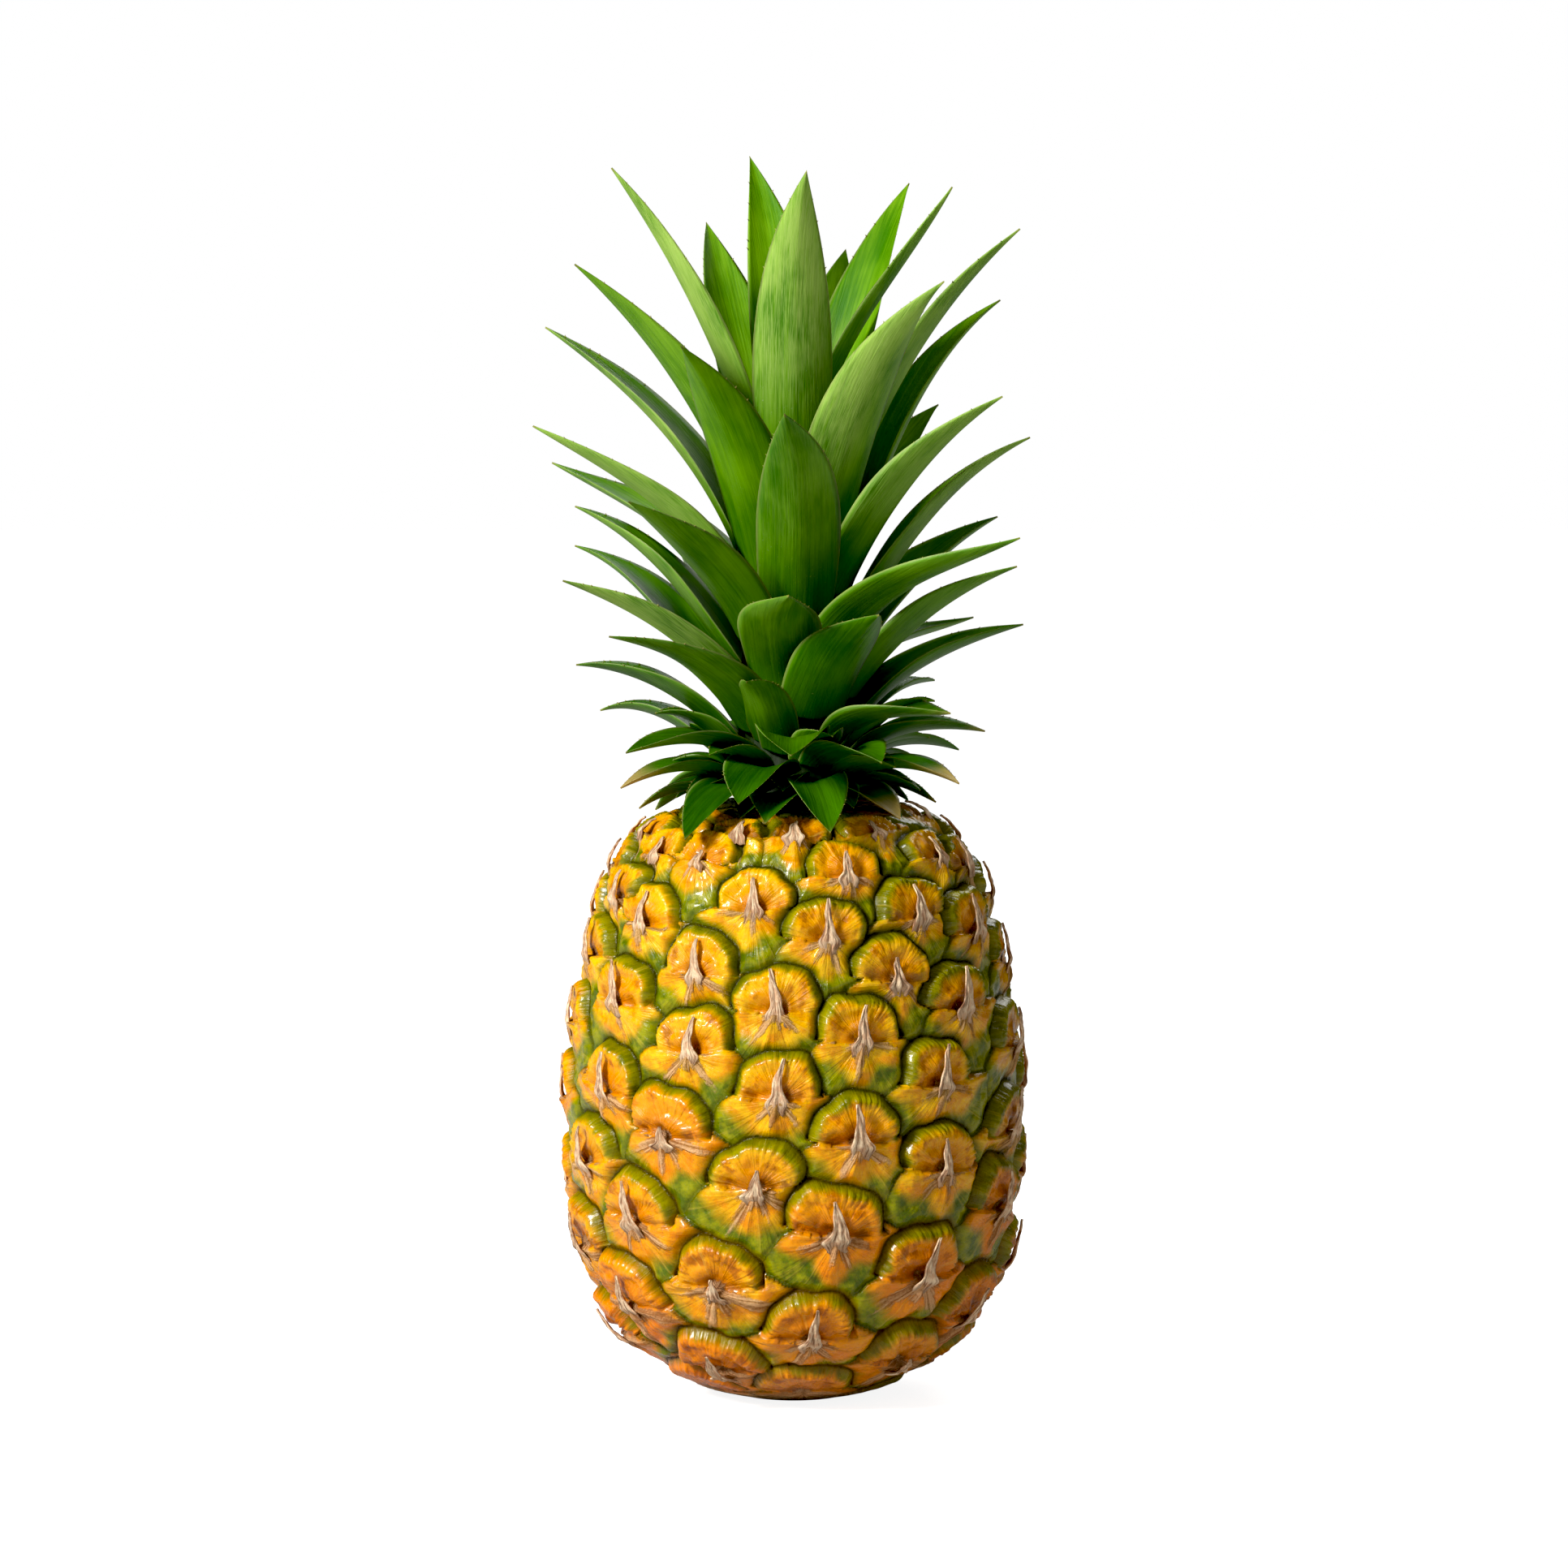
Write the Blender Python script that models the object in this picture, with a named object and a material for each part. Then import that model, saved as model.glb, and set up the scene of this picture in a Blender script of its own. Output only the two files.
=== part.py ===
"""A whole pineapple with its crown of leaves, standing upright on its trimmed base.

Frame: metres, +Z up, origin at the centre of the flat spot the fruit stands on.
Azimuth 0 faces -Y and grows towards +X.  Every number below is in millimetres or
degrees unless its name says otherwise; the meshes are scaled to metres at the end.
"""
import math

import bmesh
import bpy
import numpy as np
from mathutils import Vector

MM = 0.001
GOLDEN_ANGLE = 137.508

# Fruit: outline as (height, radius), from the rim of the flat spot to the top.
FLAT_RADIUS = 17.0
FRUIT_OUTLINE = ((0.0, FLAT_RADIUS), (3.2, 27.5), (10.5, 39.2), (22.0, 50.3), (36.0, 57.6),
                 (54.0, 61.6), (76.0, 62.8), (98.0, 62.0), (114.0, 59.4), (130.0, 56.0),
                 (143.0, 52.0), (153.0, 46.5), (159.5, 39.5), (163.5, 30.0), (165.0, 17.0),
                 (165.2, 0.0))
OUTLINE_STEPS = 24
FRUIT_COLUMNS = 288
FRUIT_ROWS = 150
FRUIT_TRIANGLES = 6400

# Eyes: one row that winds down the fruit, each eye a golden angle on from the last.
FIRST_EYE = -46
LAST_EYE = 64
EYE_AZIMUTH = 5.9
EYE_HEIGHT = 112.8
EYE_STEP = -1.57
EYE_STEP_GROWTH = -0.00791
EYE_STEP_EASE = 0.0000554
ROW_TILT = 5.0
TWIST = -0.34
TWIST_GROWTH = 0.122
TWIST_CENTRE = 86.0
TWIST_SPAN = 80.0
# Eyes that grew out of line, as (sideways, up) from their place in the row.
EYE_SHIFT = {-39: (3, -2), -34: (1, 4), -31: (5, -4), -29: (0, 5), -26: (-3, 0),
             -18: (-3, -4), -16: (-5, 3), -8: (-5, 0), -5: (-3, -2), 0: (-5, 1),
             3: (-4, 0), 5: (4, 0), 8: (-6, 4), 10: (8, -3), 13: (4, 0), 16: (-7, 3),
             18: (5, 0), 23: (5, 0), 26: (5, 0), 29: (0, 4), 37: (0, 4), 39: (-2, -3),
             44: (-5, 1), 47: (-2, -4), 52: (-6, -3), 55: (8, 0), 60: (0, 3)}
EYE_WIDTH = 27.0
EYE_LENGTH = 25.0
GROOVE_DEPTH = 3.6
GROOVE_WIDTH = 0.24
DOME_RISE = 1.4
LIP_RISE = 1.3
SPINE_LENGTH = 13.0
SPINE_WIDTH = 3.2
SPINE_RISE = 2.6
SPINE_FOOT = 2.0

# Crown: short stem and a golden-angle rosette, counted from the lowest leaf up.
STEM_OUTLINE = ((165.5, 0.0), (165.5, 16.0), (185.0, 15.5), (220.0, 13.5), (250.0, 10.5),
                (266.0, 7.5), (271.0, 4.0), (272.5, 0.0))
STEM_SIDES = 24
LEAF_COUNT = 62
MISSING_LEAVES = (1, 4, 58, 60)
FIRST_LEAF_AZIMUTH = -8.5
# Each row: leaf number, then base height, tip reach, tip height, lean from the
# vertical at the base and at the tip, and half the greatest width.
ROSETTE = ((0, 167.8, 48, 162, 72, 128, 8.0),
           (10, 172.6, 50, 171, 58, 116, 8.8),
           (20, 179.5, 56, 190, 46, 98, 10.2),
           (28, 188.5, 68, 218, 38, 72, 11.2),
           (34, 198.5, 70, 240, 34, 68, 11.6),
           (42, 218.0, 72, 271, 30, 62, 11.6),
           (50, 234.0, 68, 306, 21, 55, 11.2),
           (57, 262.0, 56, 340, 20, 39, 10.8),
           (61, 270.0, 48, 346, 14, 32, 8.5))
# Leaves that stray from the rosette: degrees of drift, extra reach, extra height.
STRAY_LEAVES = {0: (-1, -1, 2), 2: (0, -5, 0), 3: (2, -8, -1), 5: (7, 4, -7), 6: (0, -9, -2),
                7: (2, -2, -7), 8: (-1, 4, -7), 9: (-14, 5, 1), 13: (4, 0, -7),
                15: (2, 3, 10), 16: (-3, -4, -2), 18: (-2, 1, -4), 19: (0, -2, -2),
                20: (-12, 2, -10), 21: (0, 0, -10), 23: (0, 0, 4), 24: (2, -9, -11),
                26: (-12, 5, 4), 28: (2, 1, 18), 30: (-20, 7, -11), 32: (-3, -4, 0),
                34: (12, -2, -13), 36: (-4, -8, 0), 37: (10, 9, -10), 39: (6, -2, -8),
                40: (0, -6, 4), 41: (9, 9, -8), 42: (-9, -2, 4), 44: (0, 2, -9),
                45: (0, -5, -5), 48: (3, -5, 8), 49: (4, 4, -4), 50: (9, 0, 4),
                51: (2, -2, 9), 52: (-3, 3, -1), 53: (0, 0, 4), 54: (-12, -2, 2),
                55: (9, -4, 9), 56: (8, -7, 3), 57: (18, -4, 1), 59: (10, -2, 3),
                61: (-20, -4, -10)}
LEAF_GAP = 1.4
LEAF_STATIONS = (0.0, 0.12, 0.26, 0.42, 0.58, 0.74, 0.88)
LEAF_THICKNESS = (1.3, 0.5)
WIDEST_AT = 0.33
CHANNEL_RADIUS = (1.9, 1.6)
DRIFT_AT_BASE = 0.4
HANDLE = 0.36


def clear_scene():
    """Remove everything the scene starts with."""
    for thing in list(bpy.data.objects):
        bpy.data.objects.remove(thing, do_unlink=True)


def make_material(name, colour, roughness):
    """Principled material with a plain colour."""
    material = bpy.data.materials.new(name)
    material.use_nodes = True
    shader = material.node_tree.nodes["Principled BSDF"]
    shader.inputs["Base Color"].default_value = (*colour, 1.0)
    shader.inputs["Roughness"].default_value = roughness
    shader.inputs["Metallic"].default_value = 0.0
    material.diffuse_color = (*colour, 1.0)
    return material


def link_mesh(name, mesh, material):
    """Put a finished mesh in the scene as a named object."""
    mesh.materials.append(material)
    mesh.shade_smooth()
    mesh.set_sharp_from_angle(angle=math.radians(50.0))
    thing = bpy.data.objects.new(name, mesh)
    bpy.context.collection.objects.link(thing)
    return thing


def smooth_outline(points, steps):
    """Catmull-Rom curve through (height, radius) points."""
    knots = np.array(points, float)
    knots = np.vstack([2 * knots[0] - knots[1], knots, 2 * knots[-1] - knots[-2]])
    curve = []
    for first in range(len(knots) - 3):
        a, b, c, d = knots[first:first + 4]
        for step in range(steps):
            t = step / steps
            curve.append(0.5 * (2 * b + (c - a) * t + (2 * a - 5 * b + 4 * c - d) * t * t
                                + (3 * b - a - 3 * c + d) * t ** 3))
    curve.append(knots[-2])
    curve = np.array(curve)
    curve[:, 1] = np.maximum(curve[:, 1], 0.0)
    return curve


def arc_lengths(curve):
    """Distance along a curve at each of its points."""
    steps = np.hypot(*np.diff(curve, axis=0).T)
    return np.concatenate([[0.0], np.cumsum(steps)])


def eye_places():
    """Azimuth (radians), height and relative size of every eye."""
    number = np.arange(FIRST_EYE, LAST_EYE + 1, dtype=float)
    height = (EYE_HEIGHT + EYE_STEP * number + EYE_STEP_GROWTH * number ** 2
              + EYE_STEP_EASE * number ** 3)
    level = (height - TWIST_CENTRE) / TWIST_SPAN
    azimuth = (np.radians(EYE_AZIMUTH + GOLDEN_ANGLE * number)
               + TWIST * level + TWIST_GROWTH * level ** 2)
    height = height + ROW_TILT * np.sin(azimuth)
    for eye, (sideways, up) in EYE_SHIFT.items():
        azimuth[eye - FIRST_EYE] += sideways / 60.0
        height[eye - FIRST_EYE] += up
    size = np.interp(number, (FIRST_EYE, -20, 30, LAST_EYE), (0.72, 0.92, 1.05, 1.12))
    return azimuth, height, size


def smoothstep(low, high, value):
    """Smooth ramp from 0 at low to 1 at high."""
    t = np.clip((value - low) / (high - low), 0.0, 1.0)
    return t * t * (3.0 - 2.0 * t)


def eye_relief(azimuth, arc, radius, outline, lengths):
    """Height of the skin above the fruit's outline, for arrays of places on it."""
    eye_azimuth, eye_height, eye_size = eye_places()
    rising = np.maximum.accumulate(outline[:, 0])
    eye_arc = np.interp(eye_height, rising, lengths)
    nearest = np.full(azimuth.shape, 9.0)
    second = np.full(azimuth.shape, 9.0)
    side = np.zeros(azimuth.shape)
    up = np.zeros(azimuth.shape)
    for place, level, size in zip(eye_azimuth, eye_arc, eye_size):
        turn = np.mod(azimuth - place + math.pi, 2 * math.pi) - math.pi
        across = turn * radius / size
        along = (arc - level) / size
        distance = np.hypot(across / (EYE_WIDTH / 2), along / (EYE_LENGTH / 2))
        closer = distance < nearest
        second = np.where(closer, nearest, np.minimum(second, distance))
        side = np.where(closer, across, side)
        up = np.where(closer, along, up)
        nearest = np.where(closer, distance, nearest)
    border = second - nearest
    plate = 1.0 - np.exp(-(border / GROOVE_WIDTH) ** 2)
    dome = DOME_RISE * smoothstep(1.1, 0.1, nearest)
    wing = np.exp(-(side / 9.0) ** 4)
    lip = LIP_RISE * wing * smoothstep(0.8, -0.4, up) * smoothstep(-11.0, -1.0, up)
    reach = np.clip((up + SPINE_FOOT) / (SPINE_LENGTH + SPINE_FOOT), 0.0, 1.0)
    narrow = SPINE_WIDTH * (1.35 - reach)
    on_spine = (up > -SPINE_FOOT) & (up < SPINE_LENGTH)
    ridge = np.exp(-(side / narrow) ** 2) * np.sin(math.pi * np.clip(reach * 0.9 + 0.08, 0, 1))
    spine = np.where(on_spine, SPINE_RISE * ridge, 0.0)
    return -GROOVE_DEPTH * (1.0 - plate) + plate * (dome + lip) + spine


def build_fruit(material):
    """The fruit in one piece: eyes, grooves and bracts raised from its outline."""
    outline = smooth_outline(FRUIT_OUTLINE, OUTLINE_STEPS)
    lengths = arc_lengths(outline)
    rows = np.linspace(0.0, lengths[-1], FRUIT_ROWS)[:-1]
    height = np.interp(rows, lengths, outline[:, 0])
    radius = np.interp(rows, lengths, outline[:, 1])
    run = np.gradient(radius, rows)
    rise = np.gradient(height, rows)
    turn = 2 * math.pi * np.arange(FRUIT_COLUMNS) / FRUIT_COLUMNS
    azimuth, arc = np.meshgrid(turn, rows)
    around = np.repeat(radius[:, None], FRUIT_COLUMNS, axis=1)
    relief = eye_relief(azimuth, arc, around, outline, lengths)
    fade = smoothstep(0.0, 9.0, rows) * smoothstep(lengths[-1] - 14, lengths[-1] - 34, rows)
    relief = relief * fade[:, None]
    far = around + relief * rise[:, None]
    tall = height[:, None] - relief * run[:, None]
    tall = np.maximum(tall, 0.4 * smoothstep(0.0, 6.0, rows)[:, None])
    mesh_maker = bmesh.new()
    rings = []
    for row in range(len(rows)):
        ring = []
        for column in range(FRUIT_COLUMNS):
            x = far[row, column] * math.sin(turn[column])
            y = -far[row, column] * math.cos(turn[column])
            ring.append(mesh_maker.verts.new((x, y, tall[row, column])))
        rings.append(ring)
    top = mesh_maker.verts.new((0.0, 0.0, FRUIT_OUTLINE[-1][0]))
    for low, high in zip(rings, rings[1:]):
        for column in range(FRUIT_COLUMNS):
            after = (column + 1) % FRUIT_COLUMNS
            mesh_maker.faces.new((low[column], low[after], high[after], high[column]))
    for column in range(FRUIT_COLUMNS):
        after = (column + 1) % FRUIT_COLUMNS
        mesh_maker.faces.new((rings[-1][column], rings[-1][after], top))
    mesh_maker.faces.new(tuple(reversed(rings[0])))
    bmesh.ops.triangulate(mesh_maker, faces=mesh_maker.faces[:])
    mesh = bpy.data.meshes.new("fruit_body")
    mesh_maker.to_mesh(mesh)
    mesh_maker.free()
    full = len(mesh.polygons)
    draft = bpy.data.objects.new("fruit_draft", mesh)
    bpy.context.collection.objects.link(draft)
    thin = draft.modifiers.new("Decimate", "DECIMATE")
    thin.ratio = FRUIT_TRIANGLES / full
    depsgraph = bpy.context.evaluated_depsgraph_get()
    lean = bpy.data.meshes.new_from_object(draft.evaluated_get(depsgraph))
    bpy.data.objects.remove(draft, do_unlink=True)
    for vertex in lean.vertices:
        if vertex.co.z < 0.05:
            vertex.co.z = 0.0
        vertex.co = vertex.co * MM
    return link_mesh("fruit_body", lean, material)


def build_stem(material):
    """Core of the crown, a turned cone."""
    mesh_maker = bmesh.new()
    points = [mesh_maker.verts.new((radius * MM, 0.0, height * MM))
              for height, radius in STEM_OUTLINE]
    edges = [mesh_maker.edges.new(pair) for pair in zip(points, points[1:])]
    bmesh.ops.spin(mesh_maker, geom=points + edges, cent=(0, 0, 0), axis=(0, 0, 1),
                   angle=2 * math.pi, steps=STEM_SIDES, use_merge=True)
    bmesh.ops.remove_doubles(mesh_maker, verts=mesh_maker.verts[:], dist=1e-6)
    bmesh.ops.recalc_face_normals(mesh_maker, faces=mesh_maker.faces[:])
    mesh = bpy.data.meshes.new("crown_stem")
    mesh_maker.to_mesh(mesh)
    mesh_maker.free()
    return link_mesh("crown_stem", mesh, material)


def stem_radius(height):
    """Radius of the crown's core at a height."""
    heights = [point[0] for point in STEM_OUTLINE[1:]]
    radii = [point[1] for point in STEM_OUTLINE[1:]]
    return float(np.interp(height, heights, radii))


def leaf_plan(number):
    """Azimuth, drift, base, tip, leans and half width of one leaf."""
    table = np.array(ROSETTE, float)
    base, reach, tip, lean, tip_lean, half = (np.interp(number, table[:, 0], table[:, column])
                                              for column in range(1, 7))
    drift, more_reach, more_height = STRAY_LEAVES.get(number, (0, 0, 0))
    azimuth = math.radians(FIRST_LEAF_AZIMUTH + GOLDEN_ANGLE * number)
    return (azimuth, math.radians(drift), base, reach + more_reach, tip + more_height,
            math.radians(lean), math.radians(tip_lean), half)


def half_width(t, widest):
    """Half the leaf's width a fraction t of the way from base to tip."""
    taper = min((1.0 - t) / (1.0 - WIDEST_AT), 1.0)
    foot = 1.0 - 0.15 * max(0.0, (WIDEST_AT - t) / WIDEST_AT) ** 2
    return widest * foot * (1.0 - (1.0 - taper) ** 2) ** 1.05


def leaf_ring(number, t):
    """Section of a leaf: four points on its outer face, two on its inner face."""
    azimuth, drift, base, reach, tip, lean, tip_lean, widest = leaf_plan(number)
    start = np.array([stem_radius(base) + LEAF_GAP, base])
    end = np.array([reach, tip])
    handle = HANDLE * np.linalg.norm(end - start)
    first = start + handle * np.array([math.sin(lean), math.cos(lean)])
    last = end - handle * np.array([math.sin(tip_lean), math.cos(tip_lean)])
    s = 1.0 - t
    place = s ** 3 * start + 3 * s * s * t * first + 3 * s * t * t * last + t ** 3 * end
    heading = (s * s * (first - start) + 2 * s * t * (last - first) + t * t * (end - last))
    heading = heading / np.linalg.norm(heading)
    turn = azimuth + drift * (DRIFT_AT_BASE + (1.0 - DRIFT_AT_BASE) * t * t)
    outward = np.array([math.sin(turn), -math.cos(turn), 0.0])
    sideways = np.array([math.cos(turn), math.sin(turn), 0.0])
    upward = np.array([0.0, 0.0, 1.0])
    centre = place[0] * outward + place[1] * upward
    back = heading[1] * outward - heading[0] * upward
    half = half_width(t, widest)
    open_radius = half * float(np.interp(number, (0, 28), CHANNEL_RADIUS))
    bend = start[0] + (open_radius - start[0]) * min(1.0, 2.0 * t)
    bend = max(bend, open_radius)
    thick = LEAF_THICKNESS[0] + (LEAF_THICKNESS[1] - LEAF_THICKNESS[0]) * t
    ring = []
    for share, skin in ((-1, 0), (-0.5, 1), (0.5, 1), (1, 0), (0.5, 0), (-0.5, 0)):
        across = share * half
        sag = bend - math.sqrt(bend * bend - across * across)
        ring.append(centre + across * sideways + (skin * thick - sag) * back)
    return ring


def build_leaf(name, number, material):
    """One crown leaf: a channelled blade from the stem to a point."""
    mesh_maker = bmesh.new()
    rings = []
    for t in LEAF_STATIONS:
        rings.append([mesh_maker.verts.new(Vector(point) * MM)
                      for point in leaf_ring(number, t)])
    tip = mesh_maker.verts.new(Vector(leaf_ring(number, 1.0)[0]) * MM)
    sides = len(rings[0])
    for low, high in zip(rings, rings[1:]):
        for side in range(sides):
            after = (side + 1) % sides
            mesh_maker.faces.new((low[side], low[after], high[after], high[side]))
    for side in range(sides):
        mesh_maker.faces.new((rings[-1][side], rings[-1][(side + 1) % sides], tip))
    mesh_maker.faces.new(tuple(reversed(rings[0])))
    bmesh.ops.triangulate(mesh_maker, faces=mesh_maker.faces[:])
    bmesh.ops.recalc_face_normals(mesh_maker, faces=mesh_maker.faces[:])
    mesh = bpy.data.meshes.new(name)
    mesh_maker.to_mesh(mesh)
    mesh_maker.free()
    return link_mesh(name, mesh, material)


def leaf_colour(number):
    """Dark green at the foot of the crown, pale fresh green at the top."""
    share = number / (LEAF_COUNT - 1)
    dark = np.array([0.035, 0.10, 0.012])
    fresh = np.array([0.20, 0.36, 0.06])
    return tuple(float(value) for value in dark + (fresh - dark) * share)


def main():
    clear_scene()
    build_fruit(make_material("fruit_skin", (0.62, 0.36, 0.03), 0.45))
    build_stem(make_material("crown_core", (0.45, 0.50, 0.18), 0.6))
    label = 0
    for number in range(LEAF_COUNT):
        if number in MISSING_LEAVES:
            continue
        label += 1
        name = "leaf_%02d" % label
        build_leaf(name, number, make_material(name, leaf_colour(number), 0.4))


main()
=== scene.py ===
"""Looks of the pineapple: fine rind, dry bract tips and crown leaves, in the part's frame.

Lengths of the fruit and the crown are in millimetres and are scaled to metres in
make_object; the studio's are in metres.  Azimuth 0 faces -Y and grows towards +X.
"""
import math

import bpy
import numpy as np
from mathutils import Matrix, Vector


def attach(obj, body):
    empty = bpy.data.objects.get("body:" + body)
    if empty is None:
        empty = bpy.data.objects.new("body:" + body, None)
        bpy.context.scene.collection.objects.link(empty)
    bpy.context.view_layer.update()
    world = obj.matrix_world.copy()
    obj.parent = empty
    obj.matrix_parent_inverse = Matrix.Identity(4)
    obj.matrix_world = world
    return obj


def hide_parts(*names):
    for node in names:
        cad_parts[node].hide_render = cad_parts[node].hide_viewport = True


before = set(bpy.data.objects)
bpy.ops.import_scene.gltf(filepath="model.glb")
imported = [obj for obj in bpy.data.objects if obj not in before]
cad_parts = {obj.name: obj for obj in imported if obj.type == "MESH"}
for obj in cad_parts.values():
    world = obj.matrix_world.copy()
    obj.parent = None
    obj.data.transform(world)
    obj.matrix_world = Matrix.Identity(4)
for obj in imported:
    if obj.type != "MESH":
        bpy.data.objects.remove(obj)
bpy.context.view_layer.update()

MM = 0.001
GOLDEN_ANGLE = 137.508

# The rind's outline, the eyes' rows and the rosette repeat the CAD part's design.
FLAT_RADIUS = 17.0
FRUIT_OUTLINE = ((0.0, FLAT_RADIUS), (3.2, 27.5), (10.5, 39.2), (22.0, 50.3), (36.0, 57.6),
                 (54.0, 61.6), (76.0, 62.8), (98.0, 62.0), (114.0, 59.4), (130.0, 56.0),
                 (143.0, 52.0), (153.0, 46.5), (159.5, 39.5), (163.5, 30.0), (165.0, 17.0),
                 (165.2, 0.0))
OUTLINE_STEPS = 24
FIRST_EYE = -46
LAST_EYE = 64
EYE_AZIMUTH = 5.9
EYE_HEIGHT = 112.8
EYE_STEP = -1.57
EYE_STEP_GROWTH = -0.00791
EYE_STEP_EASE = 0.0000554
ROW_TILT = 5.0
TWIST = -0.34
TWIST_GROWTH = 0.122
TWIST_CENTRE = 86.0
TWIST_SPAN = 80.0
EYE_SHIFT = {-39: (3, -2), -34: (1, 4), -31: (5, -4), -29: (0, 5), -26: (-3, 0),
             -18: (-3, -4), -16: (-5, 3), -8: (-5, 0), -5: (-3, -2), 0: (-5, 1),
             3: (-4, 0), 5: (4, 0), 8: (-6, 4), 10: (8, -3), 13: (4, 0), 16: (-7, 3),
             18: (5, 0), 23: (5, 0), 26: (5, 0), 29: (0, 4), 37: (0, 4), 39: (-2, -3),
             44: (-5, 1), 47: (-2, -4), 52: (-6, -3), 55: (8, 0), 60: (0, 3)}

# Rind: mesh size, how far the stalk's dry mark and the fades of the relief reach along the
# outline, then the shape of one eye's dome above its lip and bract below it.
SKIN_COLUMNS = 860
SKIN_ROWS = 430
RELIEF = 0.88
SCAR_REACH = 12.0
SCAR_EDGE = 1.5
BASE_FADE = (2.0, 44.0)
TOP_FADE = (10.0, 30.0)
DOME_HALF_WIDTH = 13.2
DOME_HEIGHT = 14.2
DOME_ROUNDNESS = 2.3
LIP_CURVE = 0.009
LIP_TILT = 0.20
BRACT_HALF_WIDTH = 15.0
BRACT_MIDDLE = -4.0
BRACT_ABOVE = 5.5
BRACT_BELOW = 11.0
EDGE_SCALE = 13.5
SEAM_SCALE = 6.5
GROOVE_HALF = 1.6
FIELD_SPAN = 8.0
AWAY_SPAN = 16.0
LOW_HEIGHT = 120.0

# Dry tips of the bracts, as shares of their length on the broken ones.  They grow between two
# distances along the outline, from the flat spot's rim and from the top.
SPINE_LENGTH = {-29: 0.4, 18: 0.3, 39: 0.35, 55: 0.4, 60: 0.6, 26: 0.5, -5: 0.7}
SPINE_ROOT = 3.6
LOWEST_SPINE = 27.0
HIGHEST_SPINE = 34.0
SPINE_CLEARANCE = 0.8
SPINE_THICKNESS = 0.4
BRACT_ROWS = 22
BRACT_COLUMNS = 9

# Crown: rows are leaf number, base height, tip reach, tip height, lean at base and tip,
# and half the greatest width.
ROSETTE = ((0, 167.8, 48, 162, 72, 128, 8.0),
           (10, 172.6, 50, 171, 58, 116, 8.8),
           (20, 179.5, 56, 190, 46, 98, 10.2),
           (28, 188.5, 68, 218, 38, 72, 11.2),
           (34, 198.5, 70, 240, 34, 68, 11.6),
           (42, 218.0, 72, 271, 30, 62, 11.6),
           (50, 234.0, 68, 306, 21, 55, 11.2),
           (57, 262.0, 56, 340, 20, 39, 10.8),
           (61, 270.0, 48, 346, 14, 32, 8.5))
# Leaves that stray from the rosette: degrees of drift, extra reach, extra height.
STRAY_LEAVES = {0: (-1, -1, 2), 2: (0, -5, 0), 3: (2, -8, -1), 5: (7, 4, -7), 6: (0, -9, -2),
                7: (2, -2, -7), 8: (-1, 4, -7), 9: (-14, 5, 1), 13: (4, 0, -7),
                15: (2, 3, 10), 16: (-3, -4, -2), 18: (-2, 1, -4), 19: (0, -2, -2),
                20: (-12, 2, -10), 21: (0, 0, -10), 23: (0, 0, 4), 24: (2, -9, -11),
                26: (-12, 5, 4), 28: (2, 1, 18), 30: (-20, 7, -11), 32: (-3, -4, 0),
                34: (12, -2, -13), 36: (-4, -8, 0), 37: (10, 9, -10), 39: (6, -2, -8),
                40: (0, -6, 4), 41: (9, 9, -8), 42: (-9, -2, 4), 44: (0, 2, -9),
                45: (0, -5, -5), 48: (3, -5, 8), 49: (4, 4, -4), 50: (9, 0, 4),
                51: (2, -2, 9), 52: (-3, 3, -1), 53: (0, 0, 4), 54: (-12, -2, 2),
                55: (9, -4, 9), 56: (8, -7, 3), 57: (18, -4, 1), 59: (10, -2, 3),
                61: (-20, -4, -10)}
LEAF_COUNT = 62
MISSING_LEAVES = (1, 4, 58, 60)
FIRST_LEAF_AZIMUTH = -8.5
STEM_PROFILE = ((165.5, 16.0), (185.0, 15.5), (220.0, 13.5), (250.0, 10.5), (266.0, 7.5),
                (271.0, 4.0), (272.5, 0.0))
LEAF_GAP = 1.4
LEAF_THICKNESS = (1.3, 0.5)
WIDEST_AT = 0.33
CHANNEL_RADIUS = (1.9, 1.6)
DRIFT_AT_BASE = 0.4
HANDLE = 0.36
BASAL_SCALES = 24
BASAL_SCALE_SIZE = 0.72
LEAF_ROWS = 60
LEAF_COLUMNS = 15
# How strong the pale bloom is on single leaves, and how far back some tips have dried.
BLOOM = {57: 0.9, 50: 0.8, 55: 0.85, 49: 0.8, 53: 0.7, 31: 0.7, 40: 0.7, 47: 0.0, 42: 0.2,
         34: 0.15, 29: 0.0, 61: 0.7, 44: 0.6, 45: 0.6, 41: 0.5, 48: 0.2, 59: 0.15, 56: 0.1}
DRY_LEAVES = {3: 1.0, 5: 0.3, 8: 0.3, 0: 0.3, 10: 0.8, 11: 0.8, 9: 0.4, 6: 0.5, 7: 0.3,
              2: 0.5, 15: 0.2, 19: 0.45, 24: 0.4, 32: 0.15, 21: 0.2}

# Studio: shares of the white world's light, then lights as name, place, size and power.
BLACK_LEVEL = 0.010
AMBIENT = 0.27
GLOSSY_AMBIENT = 0.05
FLOOR_GLOW = 0.88
FLOOR_REACH = 6
LIGHT_AIM = Vector((0.0, 0.0, 0.17))
LIGHTS = (("key", (-1.12, -1.0, 1.0), 0.45, 38.0),
          ("fill", (1.3, -1.2, 0.5), 1.0, 1.2),
          ("back", (0.5, 1.2, 1.2), 0.8, 8.0))
CAMERA_DISTANCE = 1.5
CAMERA_ELEVATION = 5.0
VIEW_WIDTH = 0.4368
VIEW_CENTRE = Vector((-0.0027, 0.0, 0.1707))

chance = np.random.default_rng(11)


def srgb(red, green, blue):
    """Linear colour from 0-255 display values."""
    values = []
    for value in (red, green, blue):
        value = value / 255.0
        values.append(value / 12.92 if value <= 0.04045 else ((value + 0.055) / 1.055) ** 2.4)
    return (*values, 1.0)


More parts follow.
